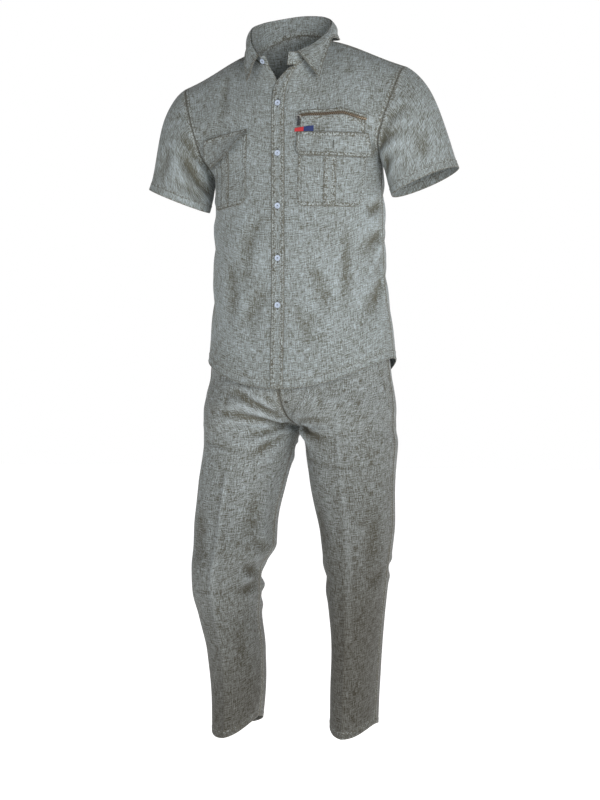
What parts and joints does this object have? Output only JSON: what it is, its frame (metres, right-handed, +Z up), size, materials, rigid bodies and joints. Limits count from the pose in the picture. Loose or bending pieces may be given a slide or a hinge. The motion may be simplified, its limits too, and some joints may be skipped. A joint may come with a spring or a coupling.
{
  "type": "work suit",
  "caption": "Short-sleeved work shirt with chest pockets, flaps, a zip and a buttoned placket, and straight trousers, standing open and hollow in its worn shape.",
  "frame": {"origin": "middle of the neck opening at the level of the shoulder seams, where the wearer holds the suit up", "axes": "+X towards the wearer's left, -Y towards the front, +Z up"},
  "size_m": [0.671, 0.2788, 1.5109],
  "materials": {
    "shirt_cloth": "matt, slubbed grey-green cotton",
    "trouser_cloth": "matt, slubbed grey-green cotton",
    "button": "satin, pale blue-grey",
    "zip_tape": "matt brown tape",
    "zip_metal": "bright worn metal",
    "pull_metal": "black enamel",
    "label_cloth": "woven tape"
  },
  "bodies": {
    "suit": {"shirt_front_left": "shirt_cloth", "shirt_front_right": "shirt_cloth", "shirt_back": "shirt_cloth", "sleeve_left": "shirt_cloth", "sleeve_right": "shirt_cloth", "collar_stand": "shirt_cloth", "collar_fall": "shirt_cloth", "placket": "shirt_cloth", "pocket_left": "shirt_cloth", "pocket_right": "shirt_cloth", "pocket_pleat_left": "shirt_cloth", "pocket_pleat_right": "shirt_cloth", "pocket_flap_left": "shirt_cloth", "pocket_flap_right": "shirt_cloth", "zip_lip": "shirt_cloth", "zip_tape": "zip_tape", "zip_slider": "zip_metal", "label": "label_cloth", "button_1": "button", "button_2": "button", "button_3": "button", "button_4": "button", "button_5": "button", "button_collar": "button", "button_waist": "button", "trouser_front_left": "trouser_cloth", "trouser_front_right": "trouser_cloth", "trouser_back_left": "trouser_cloth", "trouser_back_right": "trouser_cloth", "waistband": "trouser_cloth", "hip_pocket_left": "trouser_cloth", "hip_pocket_right": "trouser_cloth"},
    "pull": {"zip_pull": "pull_metal"}
  },
  "joints": [
    {"name": "pull_swing", "type": "hinge", "parent": "suit", "child": "pull", "pos_m": [0.03783, -0.11284, -0.17498], "axis": [-0.9942, -0.1076, 0], "range_deg": [0, 150]}
  ]
}
